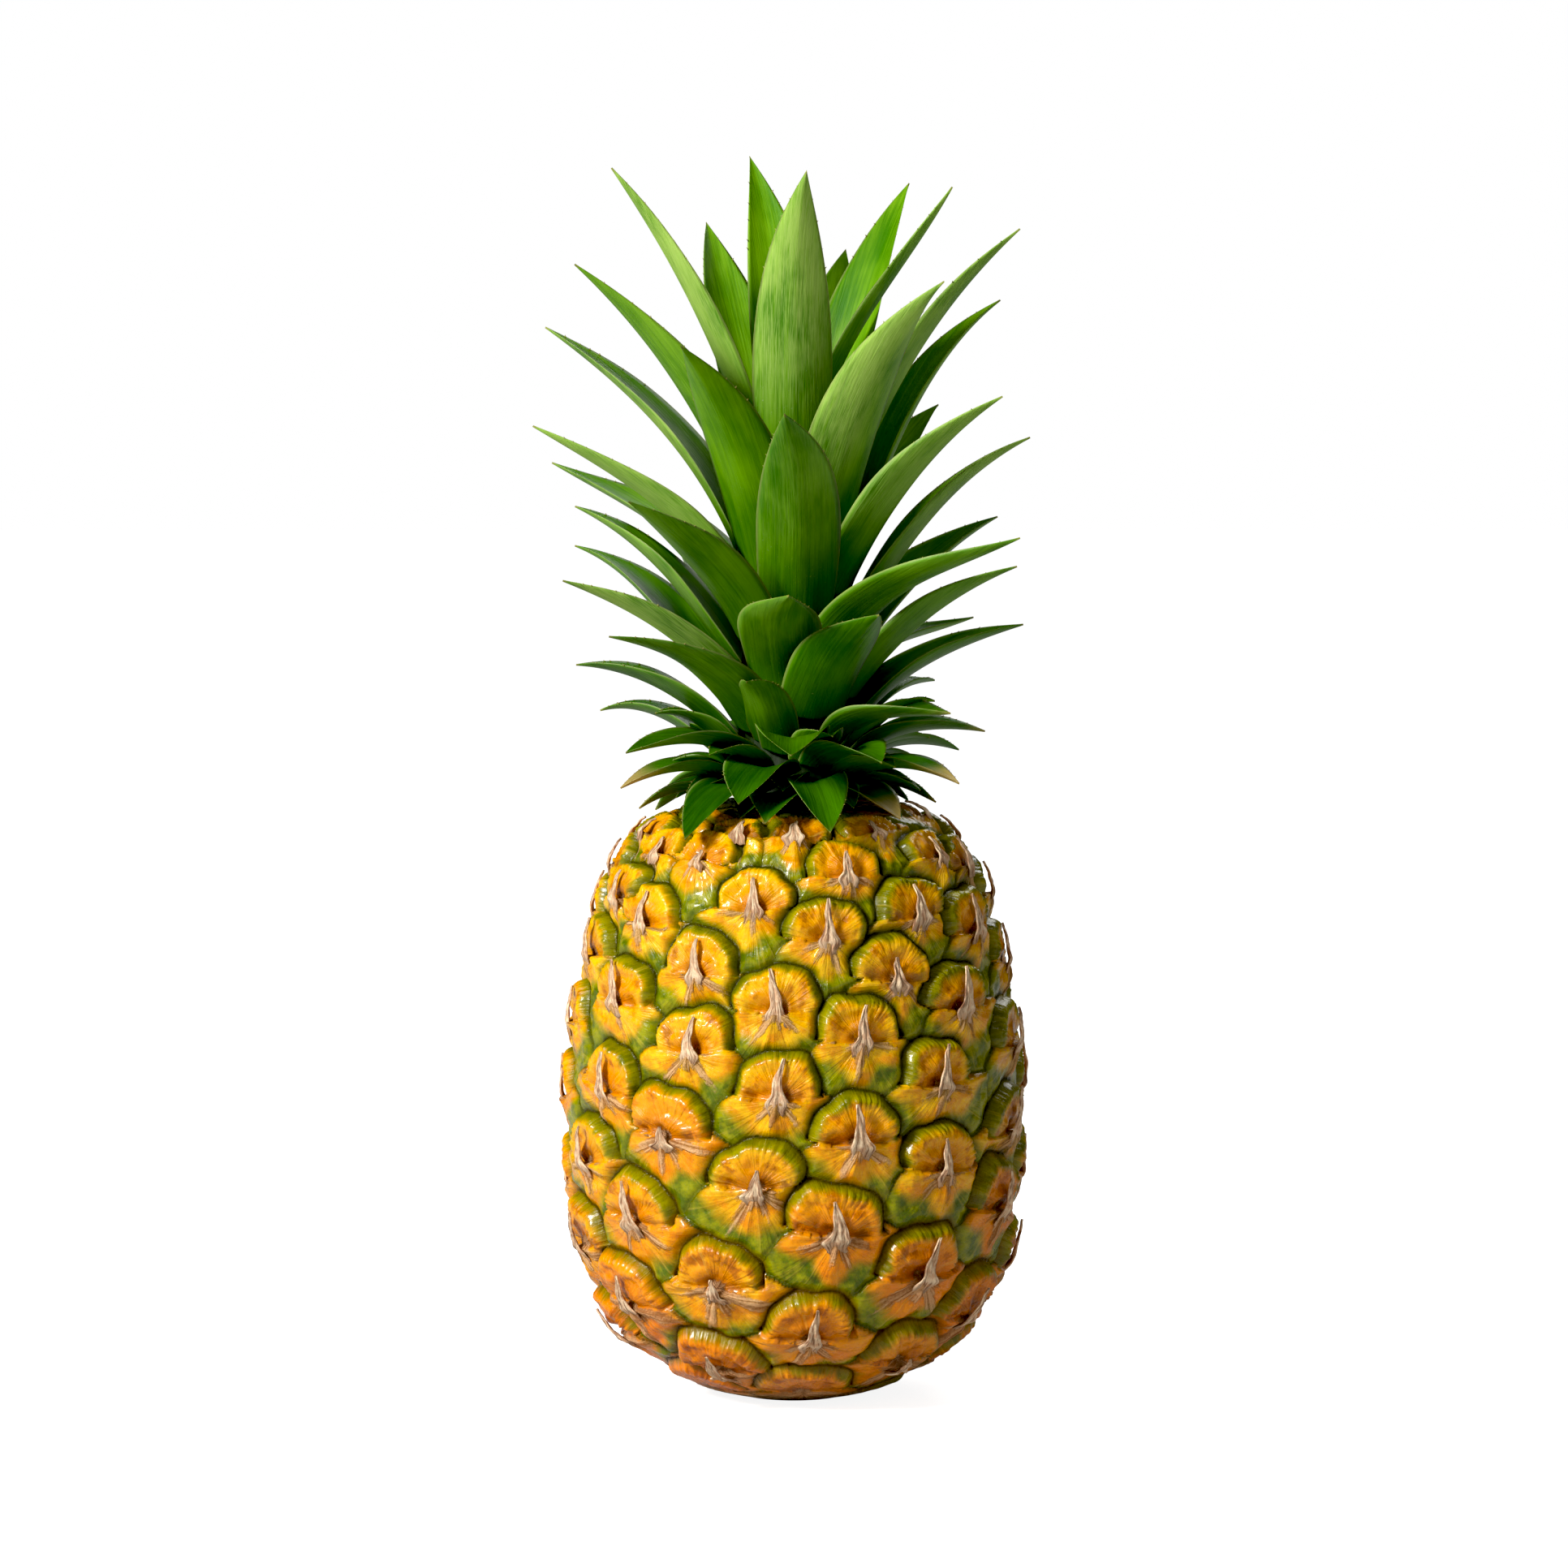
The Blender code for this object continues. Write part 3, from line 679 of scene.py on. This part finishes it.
def build_bracts():
    """One dry, pointed scale on each eye, rooted under the lip and standing off the dome."""
    points, quads, along_field, grain = [], [], [], []
    for eye in range(rind.count):
        arc = rind.arc[eye]
        if not LOWEST_SPINE < arc < rind.lengths[-1] - HIGHEST_SPINE:
            continue
        luck = rind.chance[eye]
        size = rind.size[eye]
        length = (9.0 + 3.5 * luck[2]) * size * SPINE_LENGTH.get(eye + FIRST_EYE, 1.0)
        length *= np.interp(arc, (rind.lengths[-1] - 75.0, rind.lengths[-1] - 45.0), (1.0, 0.6))
        lean = (luck[3] - 0.5) * 0.5
        curl = 0.3 + 2.0 * luck[1]
        wide = 1.9 + 0.9 * luck[6]
        start = len(points)
        for row in range(BRACT_ROWS):
            t = row / (BRACT_ROWS - 1)
            up = -SPINE_ROOT * size + t * (length + SPINE_ROOT * size)
            left = wide * (1.0 - t) ** 0.9 * (1.0 + 0.22 * math.sin(11 * t + 40 * luck[0])) + 0.25
            right = wide * (1.0 - t) ** 0.9 * (1.0 + 0.22 * math.sin(9 * t + 40 * luck[7])) + 0.25
            root = 1.0 + 0.5 * math.exp(-((t - 0.22) / 0.10) ** 2)
            shift = lean * up * abs(up) * 0.07 + 0.35 * math.sin(5 * t + 20 * luck[2]) * t
            for column in range(BRACT_COLUMNS):
                w = 2.0 * column / (BRACT_COLUMNS - 1) - 1.0
                across = w * (left if w < 0 else right) * root * size + shift
                ragged = 0.3 * math.sin(8 * w + 30 * luck[4]) * max(0.0, 1.0 - 4.0 * t)
                level = arc + up + ragged
                height, radius = rind.profile(level)
                rise, run = rind.slope(level)
                fold = 0.35 * math.sin(7 * w + 30 * luck[5]) + 0.5 * abs(w) ** 3 * (luck[7] - 0.3)
                settle = smoothstep(0.0, 0.30, t)
                stand = (1.15 + 1.15 * settle + curl * math.sin(1.9 * t) * 0.8
                         + fold * (1.0 - t) * (0.25 + settle)
                         + 0.18 * math.sin(14 * t + 4 * w + 50 * luck[6])) * size
                turn = rind.azimuth[eye] + across / radius
                far = radius + stand * rise
                tall = max(height - stand * run, SPINE_CLEARANCE)
                points.append((far * math.sin(turn), -far * math.cos(turn), tall))
                along_field.append(t)
                grain.append((w * wide, up, 7.3 * eye))
        for row in range(BRACT_ROWS - 1):
            for column in range(BRACT_COLUMNS - 1):
                corner = start + row * BRACT_COLUMNS + column
                quads.append((corner, corner + 1, corner + BRACT_COLUMNS + 1,
                              corner + BRACT_COLUMNS))
    thing = make_object("dry_bracts", np.array(points), [np.array(quads)], bract_material(),
                        {"along": along_field}, {"grain": grain})
    solid = thing.modifiers.new("thickness", "SOLIDIFY")
    solid.thickness = SPINE_THICKNESS * MM
    solid.offset = -1.0


build_bracts()


# ---------------------------------------------------------------- crown

def stem_radius(height):
    """Radius of the crown's core at a height."""
    heights = [point[0] for point in STEM_PROFILE]
    radii = [point[1] for point in STEM_PROFILE]
    return float(np.interp(height, heights, radii))


def leaf_plan(number):
    """Azimuth, drift, base, tip, leans and half width of one leaf."""
    table = np.array(ROSETTE, float)
    base, reach, tip, lean, tip_lean, half = (np.interp(number, table[:, 0], table[:, column])
                                              for column in range(1, 7))
    drift, more_reach, more_height = STRAY_LEAVES.get(number, (0, 0, 0))
    azimuth = math.radians(FIRST_LEAF_AZIMUTH + GOLDEN_ANGLE * number)
    return (azimuth, math.radians(drift), base, reach + more_reach, tip + more_height,
            math.radians(lean), math.radians(tip_lean), half)


def leaf_faces(number, rows, columns, luck, scale=1.0):
    """Outer and inner faces of a leaf as grids of points in mm."""
    azimuth, drift, base, reach, tip, lean, tip_lean, widest = leaf_plan(number)
    reach *= scale
    widest *= scale
    t = np.linspace(0.0, 1.0, rows) ** 0.92
    start = np.array([stem_radius(base) + LEAF_GAP, base])
    end = np.array([reach, tip])
    handle = HANDLE * np.linalg.norm(end - start)
    first = start + handle * np.array([math.sin(lean), math.cos(lean)])
    last = end - handle * np.array([math.sin(tip_lean), math.cos(tip_lean)])
    s = (1.0 - t)[:, None]
    u = t[:, None]
    place = s ** 3 * start + 3 * s * s * u * first + 3 * s * u * u * last + u ** 3 * end
    heading = s * s * (first - start) + 2 * s * u * (last - first) + u * u * (end - last)
    heading = heading / np.linalg.norm(heading, axis=1)[:, None]
    turn = azimuth + drift * (DRIFT_AT_BASE + (1.0 - DRIFT_AT_BASE) * t * t)
    outward = np.stack([np.sin(turn), -np.cos(turn), 0 * t], -1)
    sideways = np.stack([np.cos(turn), np.sin(turn), 0 * t], -1)
    upward = np.array([0.0, 0.0, 1.0])
    centre = place[:, :1] * outward + place[:, 1:] * upward
    back = heading[:, 1:] * outward - heading[:, :1] * upward
    taper = np.minimum((1.0 - t) / (1.0 - WIDEST_AT), 1.0)
    foot = 1.0 - 0.15 * np.maximum(0.0, (WIDEST_AT - t) / WIDEST_AT) ** 2
    half = widest * foot * (1.0 - (1.0 - taper) ** 2) ** 1.05
    open_radius = half * float(np.interp(number, (0, 28), CHANNEL_RADIUS))
    bend = start[0] + (open_radius - start[0]) * np.minimum(1.0, 2.0 * t)
    bend = np.maximum(np.maximum(bend, open_radius), 0.05)
    thick = LEAF_THICKNESS[0] + (LEAF_THICKNESS[1] - LEAF_THICKNESS[0]) * t
    w = np.linspace(-1.0, 1.0, columns)
    across = half[:, None] * w[None, :]
    sag = bend[:, None] - np.sqrt(np.maximum(bend[:, None] ** 2 - across ** 2, 0.0))
    wave = 0.30 * np.sin(9.0 * t + 20.0 * luck[0])[:, None] * w[None, :] ** 3
    wave = wave * (half / 10.0)[:, None]
    crease = 0.35 * np.exp(-(w / 0.16) ** 2)[None, :] * smoothstep(0.0, 0.3, t)[:, None]
    lift = wave - sag
    body = thick[:, None] * (1.0 - w[None, :] ** 2) * 0.94 + 0.06 * thick[:, None]
    middle = centre[:, None, :] + across[..., None] * sideways[:, None, :]
    outer = middle + (body + lift + crease * (half / 12.0)[:, None])[..., None] * back[:, None, :]
    inner = middle + (lift + crease * (half / 12.0)[:, None])[..., None] * back[:, None, :]
    length = np.concatenate([[0.0], np.cumsum(np.linalg.norm(np.diff(place, axis=0), axis=1))])
    return outer, inner, t, w, across, length


def leaf_material():
    """Satin green leaf with fine veins, a pale bloom on its back and dry edges."""
    tree = Tree("crown_leaf")
    grain = tree.attribute("grain", "Vector")
    veins = tree.noise(tree.stretch(grain, (1.6, 0.035, 1.0)), 1.0, 4.0, 0.6)
    hairs = tree.noise(tree.stretch(grain, (5.5, 0.16, 1.0)), 1.0, 3.0, 0.6)
    cloud = tree.noise(tree.stretch(grain, (0.10, 0.035, 1.0)), 1.0, 3.0, 0.55)
    scurf = tree.noise(tree.stretch(grain, (1.5, 0.8, 1.0)), 1.0, 5.0, 0.75)
    level = tree.attribute("level")
    along = tree.attribute("along")
    across = tree.attribute("across")
    outer = tree.attribute("outer")
    bloom = tree.attribute("bloom")

    deep = tree.mix(level, srgb(20, 66, 2), srgb(62, 124, 2))
    light = tree.mix(level, srgb(48, 106, 4), srgb(122, 174, 20))
    tone = tree.add(tree.times(cloud, 0.8), tree.times(veins, 0.5))
    colour = tree.mix(tree.ramp(tone, 0.42, 0.86), deep, light)
    foot = tree.ramp(along, 0.42, 0.0)
    colour = tree.mix(tree.times(foot, 0.45), colour, srgb(34, 84, 6))
    pale = tree.times(bloom, tree.ramp(tree.add(hairs, tree.times(cloud, 0.7)), 0.55, 1.05))
    pale = tree.times(pale, tree.ramp(along, 0.08, 0.45))
    colour = tree.mix(tree.times(pale, 0.7), colour, srgb(186, 212, 112))
    specks = tree.times(tree.ramp(scurf, 0.62, 0.72), tree.ramp(along, 0.5, 0.1))
    specks = tree.times(specks, tree.times(outer, 0.45))
    colour = tree.mix(specks, colour, srgb(196, 206, 176))
    margin = tree.ramp(tree.math("ABSOLUTE", across), 0.93, 1.0)
    colour = tree.mix(tree.times(margin, 0.5), colour, srgb(176, 190, 110))
    dry = tree.add(along, tree.times(cloud, 0.3))
    dry = tree.add(dry, tree.times(tree.attribute("dryness"), 0.55))
    dry = tree.ramp(dry, 1.20, 1.52)
    colour = tree.mix(dry, colour, tree.mix(hairs, srgb(142, 104, 54), srgb(206, 188, 112)))
    tip = tree.ramp(along, 0.975, 1.0)
    colour = tree.mix(tree.times(tip, 0.6), colour, srgb(150, 128, 70))
    tree.feed(tree.shader.inputs["Base Color"], colour)
    rough = tree.add(0.34, tree.times(pale, 0.3))
    tree.feed(tree.shader.inputs["Roughness"], tree.add(rough, tree.times(hairs, 0.1)))
    tree.shader.inputs["Specular IOR Level"].default_value = 0.22
    tree.shader.inputs["Subsurface Weight"].default_value = 0.05
    tree.shader.inputs["Subsurface Radius"].default_value = (0.001, 0.002, 0.0004)
    tree.shader.inputs["Subsurface Scale"].default_value = 0.5
    normal = tree.bump(veins, 0.35, 0.0006)
    normal = tree.bump(hairs, 0.25, 0.0003, normal)
    tree.feed(tree.shader.inputs["Normal"], normal)
    return tree.material


def add_teeth(outer, luck, points, triangles):
    """Small forward hooks along both margins near the tip."""
    rows, columns = outer.shape[:2]
    for column in (0, columns - 1):
        row = int(rows * (0.58 + 0.1 * luck[1]))
        while row < rows - 4:
            here, ahead = outer[row, column], outer[row + 1, column]
            inward = outer[row, columns // 2] - here
            forward = ahead - here
            forward = forward / max(np.linalg.norm(forward), 1e-6)
            inward = inward / max(np.linalg.norm(inward), 1e-6)
            lift = np.cross(forward, inward)
            lift = lift / max(np.linalg.norm(lift), 1e-6)
            big = 0.28 + 0.3 * chance.random()
            base = len(points)
            points.extend([here - 0.7 * big * forward + 0.3 * inward,
                           here + 0.7 * big * forward + 0.3 * inward,
                           here + 0.3 * inward + 0.35 * big * lift,
                           here - 1.0 * big * inward + 1.1 * big * forward])
            triangles.extend([(base, base + 1, base + 3), (base + 1, base + 2, base + 3),
                              (base + 2, base, base + 3), (base, base + 2, base + 1)])
            row += 2 + int(5 * chance.random())


leaf_look = leaf_material()


def leaf_mesh(number, scale=1.0):
    """Points, faces and fields of one leaf in fine mesh."""
    luck = chance.random(5)
    outer, inner, t, w, across, length = leaf_faces(number, LEAF_ROWS, LEAF_COLUMNS, luck, scale)
    rows, columns = len(t), len(w)
    points = list(outer.reshape(-1, 3)) + list(inner[:, 1:-1].reshape(-1, 3))
    front = np.arange(rows * columns).reshape(rows, columns)
    rear = rows * columns + np.arange(rows * (columns - 2)).reshape(rows, columns - 2)
    rear = np.concatenate([front[:, :1], rear, front[:, -1:]], axis=1)
    quads = [np.stack([front[:-1, :-1], front[:-1, 1:], front[1:, 1:], front[1:, :-1]],
                      -1).reshape(-1, 4),
             np.stack([rear[:-1, :-1], rear[1:, :-1], rear[1:, 1:], rear[:-1, 1:]],
                      -1).reshape(-1, 4),
             np.stack([front[0, 1:], front[0, :-1], rear[0, :-1], rear[0, 1:]],
                      -1)[1:-1].reshape(-1, 4)]
    triangles = []
    before = len(points)
    add_teeth(outer, luck, points, triangles)
    teeth = len(points) - before
    count = len(points)
    along = np.concatenate([np.repeat(t, columns), np.repeat(t, columns - 2), np.ones(teeth)])
    cross = np.concatenate([np.tile(w, rows), np.tile(w[1:-1], rows), np.ones(teeth)])
    lateral = np.concatenate([across.ravel(), across[:, 1:-1].ravel(), np.zeros(teeth)])
    down = np.concatenate([np.repeat(length, columns), np.repeat(length, columns - 2),
                           np.zeros(teeth)])
    face = np.concatenate([np.ones(rows * columns), np.zeros(rows * (columns - 2)),
                           np.ones(teeth)])
    level = number / (LEAF_COUNT - 1.0)
    level = float(np.clip(level ** 1.25 + 0.16 * (luck[2] - 0.5), 0.0, 1.0))
    pale = BLOOM.get(number, float(0.1 + 0.5 * level * luck[3]))
    fields = {"along": along, "across": cross, "outer": face,
              "level": np.full(count, level),
              "bloom": (0.25 + 0.75 * face) * pale,
              "dryness": np.full(count, DRY_LEAVES.get(number, 0.0))}
    grain = np.stack([lateral, down, np.full(count, 13.7 * number)], -1)
    return points, quads, triangles, fields, grain


def build_leaf(label, number):
    """One crown leaf, standing for its CAD solid."""
    points, quads, triangles, fields, grain = leaf_mesh(number)
    faces = quads + ([np.array(triangles)] if triangles else [])
    thing = make_object("crown_leaf_%02d" % label, points, faces, leaf_look, fields,
                        {"grain": grain})
    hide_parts("leaf_%02d" % label)


def build_basal_scales():
    """Short leaves packed between the lowest ones, all in one piece."""
    points, quads, triangles, grains = [], [], [], []
    fields = {}
    for step in range(BASAL_SCALES):
        number = step + 0.5
        some, fours, threes, looks, grain = leaf_mesh(number, BASAL_SCALE_SIZE)
        start = len(points)
        points.extend(some)
        quads.extend(group + start for group in fours)
        triangles.extend((a + start, b + start, c + start) for a, b, c in threes)
        grains.append(grain)
        for name, values in looks.items():
            fields.setdefault(name, []).append(values)
    fields = {name: np.concatenate(values) for name, values in fields.items()}
    make_object("basal_scales", points, quads + [np.array(triangles)], leaf_look,
                fields, {"grain": np.vstack(grains)})


label = 0
for number in range(LEAF_COUNT):
    if number not in MISSING_LEAVES:
        label += 1
        build_leaf(label, number)
build_basal_scales()


def core_material():
    """Fibrous core of the crown, coloured near-black green: partly the leaf bases' own green,
    partly painted deep shade between the leaves.
    """
    tree = Tree("crown_core")
    spot = tree.stretch(tree.position(), (420.0, 420.0, 60.0))
    fibres = tree.noise(spot, 1.0, 4.0)
    tree.feed(tree.shader.inputs["Base Color"],
              tree.mix(fibres, srgb(12, 26, 2), srgb(38, 62, 10)))
    tree.shader.inputs["Roughness"].default_value = 0.6
    tree.feed(tree.shader.inputs["Normal"], tree.bump(fibres, 0.5, 0.0006))
    return tree.material


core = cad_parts["crown_stem"]
# The crown's core gets near-black green, partly painted deep shade.
core.data.materials.clear()
core.data.materials.append(core_material())


# ---------------------------------------------------------------- stage, light and camera

def build_floor():
    """Pale seamless floor."""
    tree = Tree("pale_floor")
    tone = tree.noise(tree.position(), 3.0, 2.0)
    colour = tree.mix(tone, srgb(196, 196, 196), srgb(200, 200, 200))
    tree.feed(tree.shader.inputs["Base Color"], colour)
    tree.shader.inputs["Roughness"].default_value = 0.9
    tree.shader.inputs["Specular IOR Level"].default_value = 0.1
    tree.shader.inputs["Emission Color"].default_value = (1.0, 1.0, 1.0, 1.0)
    seen = tree.nodes.new("ShaderNodeLightPath").outputs["Is Camera Ray"]
    tree.feed(tree.shader.inputs["Emission Strength"], tree.times(seen, FLOOR_GLOW))
    mesh = bpy.data.meshes.new("floor")
    far = FLOOR_REACH
    corners = [(-far, -far, 0), (far, -far, 0), (far, far, 0), (-far, far, 0)]
    mesh.from_pydata(corners, [], [(0, 1, 2, 3)])
    mesh.materials.append(tree.material)
    floor = bpy.data.objects.new("floor", mesh)
    bpy.context.scene.collection.objects.link(floor)


def add_light(name, place, size, power):
    """Round area light that looks at the middle of the pineapple."""
    light = bpy.data.lights.new(name, "AREA")
    light.shape = "DISK"
    light.size = size
    light.energy = power
    thing = bpy.data.objects.new(name, light)
    thing.location = place
    direction = LIGHT_AIM - Vector(place)
    thing.rotation_mode = "QUATERNION"
    thing.rotation_quaternion = direction.to_track_quat("-Z", "Y")
    bpy.context.scene.collection.objects.link(thing)


build_floor()
for light_name, light_place, light_size, light_power in LIGHTS:
    add_light(light_name, light_place, light_size, light_power)
world = bpy.data.worlds.new("studio")
world.use_nodes = True
background = world.node_tree.nodes["Background"]
background.inputs["Color"].default_value = (1.0, 1.0, 1.0, 1.0)
seen = world.node_tree.nodes.new("ShaderNodeLightPath").outputs["Is Camera Ray"]
strength = world.node_tree.nodes.new("ShaderNodeMapRange")
strength.inputs["To Min"].default_value = AMBIENT
strength.inputs["To Max"].default_value = 1.0
world.node_tree.links.new(seen, strength.inputs["Value"])
shine = world.node_tree.nodes.new("ShaderNodeMapRange")
shine.inputs["To Max"].default_value = GLOSSY_AMBIENT
world.node_tree.links.new(seen.node.outputs["Is Glossy Ray"], shine.inputs["Value"])
world.node_tree.links.new(strength.outputs["Result"], shine.inputs["To Min"])
world.node_tree.links.new(shine.outputs["Result"], background.inputs["Strength"])
bpy.context.scene.world = world
bpy.context.scene.view_settings.view_transform = "Standard"
bpy.context.scene.view_settings.use_curve_mapping = True
bpy.context.scene.view_settings.curve_mapping.black_level = (BLACK_LEVEL,) * 3

camera = bpy.data.cameras.new("camera")
camera.sensor_width = 36.0
camera.lens = 36.0 * CAMERA_DISTANCE / VIEW_WIDTH
camera.clip_start = 0.05
camera.clip_end = 50.0
eye = bpy.data.objects.new("camera", camera)
tilt = math.radians(CAMERA_ELEVATION)
back = Vector((0.0, -math.cos(tilt), math.sin(tilt)))
eye.location = VIEW_CENTRE + back * CAMERA_DISTANCE
eye.rotation_mode = "QUATERNION"
eye.rotation_quaternion = (-back).to_track_quat("-Z", "Y")
bpy.context.scene.collection.objects.link(eye)
bpy.context.scene.camera = eye
